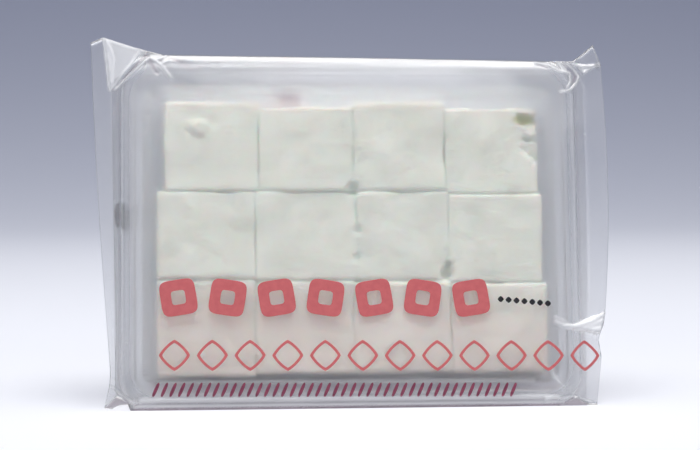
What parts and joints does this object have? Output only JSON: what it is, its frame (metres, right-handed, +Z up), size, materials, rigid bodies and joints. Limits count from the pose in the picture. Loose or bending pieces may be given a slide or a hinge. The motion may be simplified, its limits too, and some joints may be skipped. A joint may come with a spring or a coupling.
{
  "type": "pack of marshmallows",
  "caption": "Sealed bag of frosted film drawn over a shallow clear tray of square-cut marshmallows, standing on its long lower side with pointed ears at the upper corners.",
  "frame": {"origin": "on the floor, at the middle of the pack's width and of its depth as it stands", "axes": "+X to the right along the pack's long side, +Y from the shown face to the back, +Z up; the shown face looks towards -Y and leans back"},
  "size_m": [0.1792, 0.0546, 0.1259],
  "materials": {
    "frosted_film": "frosted see-through film with a soft sheen along its folds",
    "clear_tray": "clear thermoformed sheet",
    "marshmallow": "matt, powdery, ivory white, soft cut faces",
    "coral_print": "flat coral ink on the film",
    "plum_print": "flat plum ink on the film",
    "black_print": "flat black ink on the film"
  },
  "bodies": {
    "root": {"sealed_bag": "frosted_film"}
  },
  "joints": []
}
